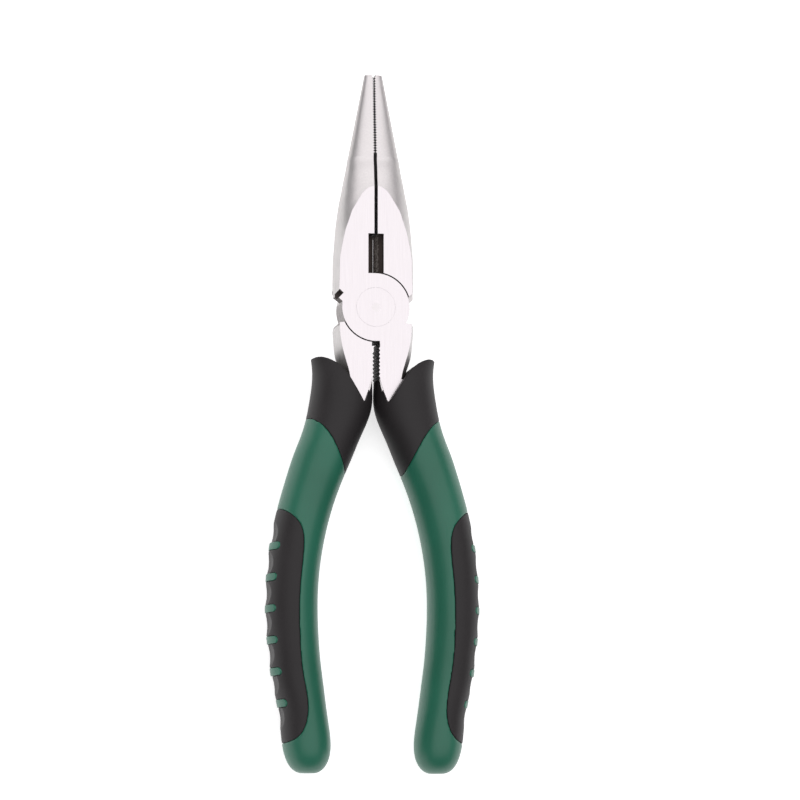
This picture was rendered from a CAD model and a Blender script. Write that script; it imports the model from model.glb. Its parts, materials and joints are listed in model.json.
# %% [markdown]
# # Long nose pliers
#
# This lesson dresses a pair of long nose pliers in Blender. The shape, the sizes and the
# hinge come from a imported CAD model, the frame, and are never changed here. What is added is
# what the eye looks for on the real tool: bright ground steel with dark forging scale left
# in its recesses, and two-colour moulded grips whose edges are soft.
#
# Every length below is written in millimetres and multiplied by MM, because Blender works in
# metres.

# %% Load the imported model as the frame
import json
import math

import bmesh
import bpy
from mathutils import Matrix, Vector


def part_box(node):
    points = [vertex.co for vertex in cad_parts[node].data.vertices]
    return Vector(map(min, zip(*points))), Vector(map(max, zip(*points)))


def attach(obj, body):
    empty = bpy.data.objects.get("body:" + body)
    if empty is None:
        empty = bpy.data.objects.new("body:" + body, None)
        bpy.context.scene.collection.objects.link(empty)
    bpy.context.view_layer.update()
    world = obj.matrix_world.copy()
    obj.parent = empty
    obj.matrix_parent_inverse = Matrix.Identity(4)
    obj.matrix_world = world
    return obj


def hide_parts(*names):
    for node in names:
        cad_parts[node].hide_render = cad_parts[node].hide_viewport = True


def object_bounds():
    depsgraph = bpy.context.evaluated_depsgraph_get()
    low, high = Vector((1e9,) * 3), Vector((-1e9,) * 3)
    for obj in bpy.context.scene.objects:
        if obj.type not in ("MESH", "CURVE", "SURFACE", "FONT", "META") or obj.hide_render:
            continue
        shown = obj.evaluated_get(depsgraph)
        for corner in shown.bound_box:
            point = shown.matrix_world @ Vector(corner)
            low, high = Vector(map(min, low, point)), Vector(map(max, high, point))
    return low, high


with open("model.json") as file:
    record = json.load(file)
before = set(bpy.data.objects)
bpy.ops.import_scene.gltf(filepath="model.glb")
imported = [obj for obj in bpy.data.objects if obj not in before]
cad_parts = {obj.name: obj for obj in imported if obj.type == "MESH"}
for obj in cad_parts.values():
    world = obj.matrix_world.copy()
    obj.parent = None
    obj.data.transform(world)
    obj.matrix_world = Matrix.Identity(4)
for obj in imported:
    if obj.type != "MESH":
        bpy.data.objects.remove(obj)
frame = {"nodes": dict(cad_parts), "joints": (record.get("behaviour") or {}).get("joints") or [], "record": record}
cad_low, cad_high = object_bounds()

MM = 0.001
print("CAD box, mm:", [round(side / MM, 2) for side in cad_high - cad_low])

# %% [markdown]
# ## Where things are
#
# The tool lies flat with its jaws towards +Y. The hinge in the record gives the pivot, and
# the rivet's box gives the joint's thickness, since the rivet is ground flush with both
# faces. The materials place their details from these few numbers, so they follow the CAD
# model if it changes.

# %% Read the pivot and the joint's thickness
pivot = Vector(frame["joints"][0]["pos_m"])
rivet_low, rivet_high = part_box("pivot_rivet")
half_joint = (rivet_high.z - rivet_low.z) / 2
rivet_radius = (rivet_high.x - rivet_low.x) / 2
BOSS_RADIUS = 9.75 * MM         # the round lap of each half
RIM_GAP = 0.35 * MM             # the gap round it
CUTTER_TOP = 21.2 * MM          # the cutter recess's far end, from the pivot
CUTTER_HALF_WIDTH = 2.2 * MM
SLIT_DEPTH = 1.4 * MM           # how far the jaws' toothed edges reach from the middle
SLIT_END = 9.5 * MM             # their lower end, from the pivot
PIPE_DEPTH = 3.4 * MM           # the same for the pipe grip
PIPE_START = -9.8 * MM
SHOULDER = 8.4 * MM             # where the joint's step shows beside the boss
print("pivot, mm:", [round(c / MM, 2) for c in pivot], "joint, mm:", round(2 * half_joint / MM, 2))

# %% [markdown]
# ## Two small tools
#
# Colours are written as sRGB hex values, the way a paint chart gives them. Blender's
# shaders work in linear light, so one function converts them. The other function adds a
# node to a material: it sets the node's own settings, gives each input a number, a hex
# colour or another node's output, and hands back the output that is wanted.

# %% Convert a colour, and add a shader node
def colour(code):
    """A linear RGBA value from an sRGB hex code such as #2a6650."""
    channels = [int(code[i:i + 2], 16) / 255 for i in (1, 3, 5)]
    linear = [c / 12.92 if c <= 0.04045 else ((c + 0.055) / 1.055) ** 2.4 for c in channels]
    return (*linear, 1.0)


def add(tree, kind, inputs=(), out=0, **settings):
    """Adds one node with its settings and links, and returns its output called out."""
    node = tree.nodes.new("ShaderNode" + kind)
    for name, value in settings.items():
        setattr(node, name, value)
    for socket, value in dict(inputs).items():
        if isinstance(value, bpy.types.NodeSocket):
            tree.links.new(value, node.inputs[socket])
        elif isinstance(value, str):
            node.inputs[socket].default_value = colour(value)
        else:
            node.inputs[socket].default_value = value
    return node.outputs[out]


print("mid green in linear light:", [round(c, 3) for c in colour("#2a6650")])

# %% [markdown]
# Every finish below is a mixture steered by masks, which are 1 where the finish belongs
# and 0 elsewhere. A band is the mask between two lengths with soft ends. Two masks joined
# by their product make "both", and by the greater value make "either".

# %% Masks: a soft band, both and either
FAR = 10.0                      # metres, past everything
SOFT = 0.03 * MM


def band(tree, value, low=-FAR, high=FAR, soft=SOFT):
    """1 while a value is between low and high, fading to 0 over soft on each side."""
    ends = []
    if low > -FAR:
        ends.append((low - soft, low + soft))
    if high < FAR:
        ends.append((high + soft, high - soft))
    masks = [add(tree, "MapRange", {0: value, 1: start, 2: end}, interpolation_type="SMOOTHSTEP")
             for start, end in ends]
    return both(tree, *masks)


def both(tree, *masks):
    result = masks[0]
    for mask in masks[1:]:
        result = add(tree, "Math", {0: result, 1: mask}, operation="MULTIPLY")
    return result


def either(tree, *masks):
    result = masks[0]
    for mask in masks[1:]:
        result = add(tree, "Math", {0: result, 1: mask}, operation="MAXIMUM")
    return result


# %% [markdown]
# Grain, brushing and speckle are all noise at different sizes. A noise texture's scale is
# the number of features in one metre, so a grain of a given size in millimetres needs a
# scale of one over that size. A different size along each axis stretches the grain, which
# is what brushing does.
#
# Most finishes go between two colours or two numbers as a grain or a mask goes from 0 to
# 1. Several such layers, one over the other, build a whole finish from the bare metal up.

# %% Noise with a grain size in millimetres, and layers over one another
def grain(tree, place, size, detail=3.0, roughness=0.55):
    """Noise whose features are size = (x, y, z) millimetres."""
    scale = [1 / (side * MM) for side in size]
    scaled = add(tree, "Mapping", {"Vector": place, "Scale": scale})
    noise = {"Vector": scaled, "Scale": 1.0, "Detail": detail, "Roughness": roughness}
    return add(tree, "TexNoise", noise)


def layers(tree, base, *covers):
    """Colours or numbers laid over a base one after another, each as (mask, value)."""
    result = base
    for mask, value in covers:
        is_colour = [isinstance(item, str) or getattr(item, "type", "") == "RGBA"
                     for item in (result, value)]
        if any(is_colour):
            result = add(tree, "Mix", {0: mask, 6: result, 7: value}, out=2, data_type="RGBA")
        else:
            result = add(tree, "Mix", {0: mask, 2: result, 3: value}, out=0, data_type="FLOAT")
    return result


def new_material(name):
    """A material with its Principled shader, and its object-space place and normal."""
    material = bpy.data.materials.new(name)
    material.use_nodes = True
    tree = material.node_tree
    shader = tree.nodes["Principled BSDF"]
    place = add(tree, "TexCoord", out="Object")
    normal = add(tree, "TexCoord", out="Normal")
    return material, tree, shader, place, normal


# %% [markdown]
# ## Ground and polished tool steel
#
# The halves are drop-forged carbon steel. After hardening, the two faces of the joint are
# surface-ground and polished, so they are nearly white under a soft box. The nose and the
# flanks are ground on a belt, which leaves a duller grey with a grain. Wheels and belts
# don't reach the teeth, the cutter recess and the laps of the joint, so the dark scale from
# heat treatment stays there.
#
# The finish could be painted by hand, but on a real tool it follows the geometry: what is
# flat and outermost is polished, what is turned away is duller, and what is inside is dark.
# So the masks below come from the place and the direction of the surface. The steel is a
# metal with its default IOR, and only its tint and its roughness say how it was worked.
# The scale is an oxide, so it isn't metallic and stays dark even when seen along it.

# %% Masks for the worked and unworked steel
def steel_masks(tree, place, normal):
    """Masks for the polished faces, the flanks and the dark scale of the halves."""
    parts = add(tree, "SeparateXYZ", {0: place}, out="X").node.outputs
    facing = add(tree, "SeparateXYZ", {0: normal}, out="X").node.outputs
    x = add(tree, "Math", {0: parts["X"]}, operation="ABSOLUTE")
    y = add(tree, "Math", {0: parts["Y"], 1: pivot.y}, operation="SUBTRACT")
    height = add(tree, "Math", {0: parts["Z"], 1: pivot.z}, operation="SUBTRACT")
    z = add(tree, "Math", {0: height}, operation="ABSOLUTE")
    sideways = add(tree, "Math", {0: facing["X"]}, operation="ABSOLUTE")
    tilt = add(tree, "Math", {0: facing["Z"]}, operation="ABSOLUTE")
    from_pivot = add(tree, "CombineXYZ", {"X": x, "Y": y})
    radius = add(tree, "VectorMath", {0: from_pivot}, out="Value", operation="LENGTH")

    upright = band(tree, tilt, high=0.33, soft=0.07)
    below_face = band(tree, z, high=half_joint - 0.05 * MM, soft=0.02 * MM)
    seam = both(tree, upright, band(tree, x, high=SLIT_DEPTH, soft=0.1 * MM),
                band(tree, y, low=SLIT_END))
    pipe_grip = both(tree, upright, band(tree, x, high=PIPE_DEPTH, soft=0.2 * MM),
                     band(tree, y, high=PIPE_START, soft=0.2 * MM))
    recess = both(tree, band(tree, x, high=CUTTER_HALF_WIDTH + 0.05 * MM), below_face,
                  band(tree, y, BOSS_RADIUS - 0.3 * MM, CUTTER_TOP + 0.04 * MM))
    lap_gap = both(tree, upright, below_face, band(tree, radius, high=BOSS_RADIUS + RIM_GAP + 0.1 * MM),
                   band(tree, x, high=8.6 * MM, soft=0.2 * MM))
    notch = both(tree, below_face, band(tree, x, low=8.3 * MM, soft=0.1 * MM),
                 band(tree, y, 1.0 * MM, 6.3 * MM, soft=0.1 * MM), band(tree, sideways, high=0.88),
                 band(tree, parts["X"], high=0.0))
    shoulder = both(tree, below_face, band(tree, x, low=SHOULDER, soft=0.2 * MM),
                    band(tree, y, -5.5 * MM, 1.4 * MM, soft=0.4 * MM))
    return {
        "face": band(tree, z, low=half_joint - 0.02 * MM, soft=0.01 * MM),
        "flank": band(tree, sideways, low=0.6, soft=0.15),
        "scale": either(tree, seam, pipe_grip, recess, lap_gap, notch),
        "tooth_gaps": either(tree, seam, pipe_grip, lap_gap),
        "shoulder": shoulder,
        "root": both(tree, band(tree, x, low=5.5 * MM, soft=0.5 * MM), below_face,
                     band(tree, y, high=-15.0 * MM, soft=5.0 * MM)),
        "recess": recess,
        "across": parts["X"],
    }


# %% [markdown]
# The cutting edges inside the recess are sharpened last, by hand, so along the line where
# they meet the scale is broken by a ragged bright streak. Noise shifts the streak's sides,
# and a second noise breaks it up.

# %% The ragged bright line of the cutting edges
def cutting_edge(tree, place, masks):
    """A ragged bright line along the middle of the recess."""
    ragged = grain(tree, place, (0.5, 0.9, 0.5), detail=4.0)
    shift = add(tree, "Math", {0: ragged, 1: 1.6 * MM, 2: -0.8 * MM}, operation="MULTIPLY_ADD")
    moved = add(tree, "Math", {0: masks["across"], 1: shift}, operation="ADD")
    line = band(tree, moved, 0.5 * MM, 1.2 * MM, soft=0.2 * MM)
    broken = band(tree, grain(tree, place, (0.35, 0.6, 0.35)), low=0.49, soft=0.07)
    return both(tree, line, broken, masks["recess"])


# %% [markdown]
# Three grains make the ground surfaces: fine straight lines on the polished faces, a
# crossed and speckled grain on the nose, and long streaks on the flanks. Real grinding
# lines are a few hundredths of a millimetre apart. They are drawn about five times as
# coarse, so that a view of the whole tool still shows them.

# %% Build the steel of the two halves
def ground_tool_steel():
    material, tree, shader, place, normal = new_material("ground_forged_tool_steel")
    masks = steel_masks(tree, place, normal)

    lines = grain(tree, place, (0.18, 9.0, 0.18))
    speckle = grain(tree, place, (0.45, 0.30, 0.45), detail=5.0, roughness=0.7)
    streaks = grain(tree, place, (0.30, 5.0, 0.30), detail=4.0)
    cloud = grain(tree, place, (9.0, 14.0, 9.0), detail=2.0)
    edge = cutting_edge(tree, place, masks)

    belt_ground = layers(tree, "#c2bcbd", (speckle, "#ece7e7"))
    flank_grey = layers(tree, "#a9a6a6", (streaks, "#cfcccb"))
    polished = layers(tree, "#d5ced1", (lines, "#e0dadd"))
    forged = layers(tree, "#5c5857", (streaks, "#a09b9a"))
    scale = layers(tree, "#241d1b", (speckle, "#564b47"))
    tint = layers(tree, belt_ground, (masks["flank"], flank_grey), (masks["face"], polished),
                  (masks["root"], "#38332f"), (masks["shoulder"], forged), (masks["scale"], scale),
                  (masks["tooth_gaps"], "#15100f"), (edge, "#bdb5b0"))
    tree.links.new(tint, shader.inputs["Base Color"])

    dark = either(tree, masks["scale"], masks["root"])
    oxide = add(tree, "Math", {0: 1.0, 1: dark}, operation="SUBTRACT")
    tree.links.new(either(tree, oxide, edge), shader.inputs["Metallic"])
    belt_rough = layers(tree, 0.34, (speckle, 0.52))
    face_rough = layers(tree, 0.17, (cloud, 0.30))
    rough = layers(tree, belt_rough, (masks["face"], face_rough), (dark, 0.62))
    tree.links.new(rough, shader.inputs["Roughness"])

    height = layers(tree, speckle, (masks["flank"], streaks), (masks["face"], lines))
    depth = layers(tree, 0.35, (masks["face"], 0.06))
    rounded = add(tree, "Bevel", {"Radius": 0.10 * MM}, samples=4)
    bump = add(tree, "Bump", {"Height": height, "Strength": depth, "Normal": rounded,
                              "Distance": 0.02 * MM})
    tree.links.new(bump, shader.inputs["Normal"])
    return material


jaw_steel = ground_tool_steel()
for name in ("front_half", "rear_half"):
    frame["nodes"][name].material_slots[0].material = jaw_steel
print("steel nodes in the material:", len(jaw_steel.node_tree.nodes))

# %% [markdown]
# ## The rivet
#
# The joint rivet is pressed in and then ground away with the faces, so on the real tool
# its head can barely be found. The CAD rivet needs running clearance in one half, and that
# would show as a ring. A visual rivet with a slightly larger head closes it. It is turned
# on a lathe in its own way: a profile spun round the pivot axis, with a small rounded edge
# and a shallow dish at the centre where the press held it.

# %% Spin the rivet's profile
RIVET_SIDES = 96
RING_GAP = 0.01 * MM
SHANK_SHARE = 4.0 / 5.6         # shank radius over head radius
HEAD_DEPTH = 1.6 * MM
DISH_RADIUS = 1.2 * MM
DISH_RIM = 1.5 * MM
DISH_DEPTH = 0.02 * MM


def spun(name, profile, sides, centre):
    """A closed solid of revolution about a vertical line through centre."""
    mesh = bmesh.new()
    rings = []
    for radius, height in profile:
        ring = []
        for side in range(sides):
            angle = 2 * math.pi * side / sides
            ring.append(mesh.verts.new(centre + Vector(
                (radius * math.cos(angle), radius * math.sin(angle), height))))
        rings.append(ring)
    for lower, upper in zip(rings, rings[1:]):
        for side in range(sides):
            after = (side + 1) % sides
            mesh.faces.new((lower[side], lower[after], upper[after], upper[side]))
    mesh.faces.new(list(reversed(rings[0])))
    mesh.faces.new(rings[-1])
    data = bpy.data.meshes.new(name)
    mesh.to_mesh(data)
    mesh.free()
    piece = bpy.data.objects.new(name, data)
    bpy.context.scene.collection.objects.link(piece)
    return piece


head = rivet_radius + 0.05 * MM - RING_GAP
shank = rivet_radius * SHANK_SHARE
edge = 0.03 * MM
half_profile = [
    (DISH_RADIUS, half_joint - DISH_DEPTH), (DISH_RIM, half_joint),
    (head - edge, half_joint), (head, half_joint - edge), (shank, half_joint - HEAD_DEPTH),
]
profile = [(radius, -height) for radius, height in half_profile] + half_profile[::-1]
rivet = spun("ground_rivet", profile, RIVET_SIDES, pivot)
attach(rivet, "rear_half_and_left_handle")
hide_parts("pivot_rivet")
rivet.data.materials.append(jaw_steel)
print("rivet faces:", len(rivet.data.polygons))

# %% [markdown]
# ## Soft edges for the mouldings
#
# The grips are moulded in two shots: a hard green core, and black rubber moulded over it.
# In CAD the pieces meet at knife edges. In the mould every edge has a radius, so a fine
# groove with a highlight beside it runs wherever two colours meet. A bevel needs tidy edges
# and would fail on these free-form seams. Remeshing each piece at a fine voxel size and
# smoothing it a little rounds every edge alike, and keeps the surface where CAD put it.

# %% Round a CAD piece's edges into a new piece
def softened(node, body, voxel, passes):
    """A copy of a CAD node's mesh with rounded edges, which stands for that node."""
    name = "moulded_" + node
    mesh = bmesh.new()
    mesh.from_mesh(frame["nodes"][node].data)
    bmesh.ops.remove_doubles(mesh, verts=mesh.verts, dist=0.001 * MM)
    source = bpy.data.meshes.new(name)
    mesh.to_mesh(source)
    mesh.free()
    source.materials.clear()
    piece = bpy.data.objects.new(name, source)
    bpy.context.scene.collection.objects.link(piece)
    remesh = piece.modifiers.new("voxels", "REMESH")
    remesh.mode = "VOXEL"
    remesh.voxel_size = voxel
    smooth = piece.modifiers.new("round edges", "SMOOTH")
    smooth.factor = 0.5
    smooth.iterations = passes
    graph = bpy.context.evaluated_depsgraph_get()
    piece.data = bpy.data.meshes.new_from_object(piece.evaluated_get(graph))
    piece.modifiers.clear()
    for face in piece.data.polygons:
        face.use_smooth = True
    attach(piece, body)
    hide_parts(node)
    return piece


# %% [markdown]
# ## Green polypropylene and black rubber
#
# The core is polypropylene, coloured through, from a mould with a satin surface. It has a
# broad, soft highlight and a slight mottle. Handling polishes it in patches, so its
# roughness drifts over centimetres. The two mould halves meet along the middle of the
# handle's thickness, and leave a fine raised line there.

# %% Build the moulded green polypropylene
PARTING_LINE = 0.12 * MM        # half the raised line's width


def green_polypropylene():
    material, tree, shader, place, _ = new_material("moulded_green_polypropylene")
    mottle = grain(tree, place, (14.0, 22.0, 14.0), detail=2.0)
    handling = grain(tree, place, (7.0, 16.0, 7.0), detail=3.0)
    satin = grain(tree, place, (0.30, 0.30, 0.30), detail=2.0)
    scuffs = band(tree, grain(tree, place, (0.5, 12.0, 0.5)), low=0.66, soft=0.06)
    tint = layers(tree, "#175a45", (mottle, "#236d57"))
    tree.links.new(tint, shader.inputs["Base Color"])
    rough = layers(tree, 0.32, (handling, 0.46), (scuffs, 0.50))
    tree.links.new(rough, shader.inputs["Roughness"])
    shader.inputs["IOR"].default_value = 1.49

    height = add(tree, "SeparateXYZ", {0: place}, out="Z")
    line = band(tree, height, pivot.z - PARTING_LINE, pivot.z + PARTING_LINE, soft=0.04 * MM)
    relief = layers(tree, satin, (line, 3.0))
    bump = add(tree, "Bump", {"Height": relief, "Strength": 0.5, "Distance": 0.008 * MM})
    tree.links.new(bump, shader.inputs["Normal"])
    return material


# %% [markdown]
# The black shot is thermoplastic rubber. Its mould is spark-eroded, which prints a fine,
# even texture of pits a tenth of a millimetre across, drawn here three times as coarse.
# The texture scatters light, so the rubber is a dull charcoal and never quite black, with
# a wide and weak sheen.

# %% Build the thermoplastic rubber
def black_rubber():
    material, tree, shader, place, _ = new_material("spark_textured_black_rubber")
    cloud = grain(tree, place, (6.0, 10.0, 6.0), detail=3.0)
    pits = grain(tree, place, (0.30, 0.30, 0.30), detail=3.0, roughness=0.7)
    tone = layers(tree, cloud, (0.35, pits))
    tint = layers(tree, "#1b1819", (tone, "#2d292b"))
    tree.links.new(tint, shader.inputs["Base Color"])
    rough = layers(tree, 0.48, (cloud, 0.62))
    tree.links.new(rough, shader.inputs["Roughness"])
    shader.inputs["IOR"].default_value = 1.52
    shader.inputs["Specular IOR Level"].default_value = 0.30
    bump = add(tree, "Bump", {"Height": pits, "Strength": 0.35, "Distance": 0.04 * MM})
    tree.links.new(bump, shader.inputs["Normal"])
    return material


finishes = {"green_polymer": green_polypropylene(), "black_rubber": black_rubber()}
print("moulding materials:", [material.name for material in finishes.values()])

# %% [markdown]
# Each moulding takes its place in one loop over the record's own lists, so a node added in
# CAD would get its soft edges and finish here with no new code. Small pieces get smaller
# voxels, because the radius that smoothing makes goes with the voxel size.

# %% Make every moulding of both handles
VOXEL = {
    "grip_core": 0.32 * MM, "grip_collar": 0.24 * MM,
    "finger_pad": 0.24 * MM, "grip_stud": 0.14 * MM,
}
PASSES = 5

slots = {part["node"]: part["material_slot"] for part in frame["record"]["subparts"]}
for body, members in frame["record"]["behaviour"]["bodies"].items():
    for node in members:
        if slots[node] not in finishes:
            continue
        kind = next(name for name in VOXEL if name in node)
        piece = softened(node, body, VOXEL[kind], PASSES)
        piece.data.materials.append(finishes[slots[node]])
        print(piece.name, len(piece.data.polygons), "faces")

# %% [markdown]
# ## Floor, light and camera
#
# The tool lies on a white sweep. One large soft box hangs level over it, towards the right
# and the jaws, where the polished faces mirror it into the lens. Everything else is a dim
# grey room, which the flanks of the jaws and the sides of the handles pick up, so that
# their roundness shows.

# %% Lay the floor
FLOOR_SIZE = 6.0


def white_floor():
    material, tree, shader, _, _ = new_material("white_sweep_paper")
    shader.inputs["Base Color"].default_value = colour("#f4f3f3")
    shader.inputs["Roughness"].default_value = 0.9
    shader.inputs["Emission Color"].default_value = colour("#ffffff")
    shader.inputs["Emission Strength"].default_value = 0.62
    return material


bpy.ops.mesh.primitive_plane_add(size=FLOOR_SIZE, location=(0, 0, cad_low.z))
floor = bpy.context.object
floor.name = "floor"
floor.data.materials.append(white_floor())

# %% Hang the soft box and set the room's grey
def soft_box(name, place, aim, width, depth, brightness):
    """A flat light that points at aim. Its watts come from how bright its face should be."""
    lamp = bpy.data.lights.new(name, "AREA")
    lamp.shape = "RECTANGLE"
    lamp.size, lamp.size_y = width, depth
    lamp.energy = math.pi * width * depth * brightness
    holder = bpy.data.objects.new(name, lamp)
    holder.location = place
    holder.rotation_euler = (aim - place).to_track_quat("-Z", "Y").to_euler()
    holder.visible_camera = False
    bpy.context.scene.collection.objects.link(holder)
    return holder


OVERHEAD = Vector((0.10, 0.42, 0.95))
STRAIGHT_DOWN = Vector((0, 0, -1))
soft_box("overhead_soft_box", OVERHEAD, OVERHEAD + STRAIGHT_DOWN, width=2.4, depth=2.2,
         brightness=1.12)

room = bpy.data.worlds.new("grey_room")
room.use_nodes = True
background = room.node_tree.nodes["Background"]
background.inputs["Color"].default_value = colour("#c9c9cb")
background.inputs["Strength"].default_value = 0.42
bpy.context.scene.world = room
bpy.context.scene.view_settings.view_transform = "Standard"

# %% [markdown]
# The camera looks almost straight down, from a little to the left and from the handles'
# end, with a long lens a metre away, so the tool hardly tapers with distance.

# %% Place the camera
AIM = Vector((7.9, 6.0, 9.0)) * MM
TOWARDS_CAMERA = Vector((-0.180, -0.128, 0.975)).normalized()
DISTANCE = 1.0
LENS = 157.8
SENSOR = 36.0

camera_data = bpy.data.cameras.new("camera")
camera_data.lens = LENS
camera_data.sensor_width = SENSOR
camera = bpy.data.objects.new("camera", camera_data)
across = Vector((0, 1, 0)).cross(TOWARDS_CAMERA).normalized()
upwards = TOWARDS_CAMERA.cross(across)
turn = Matrix((across, upwards, TOWARDS_CAMERA)).transposed().to_4x4()
camera.matrix_world = Matrix.Translation(AIM + TOWARDS_CAMERA * DISTANCE) @ turn
bpy.context.scene.collection.objects.link(camera)
bpy.context.scene.camera = camera
print("camera, mm:", [round(c / MM, 1) for c in camera.location])
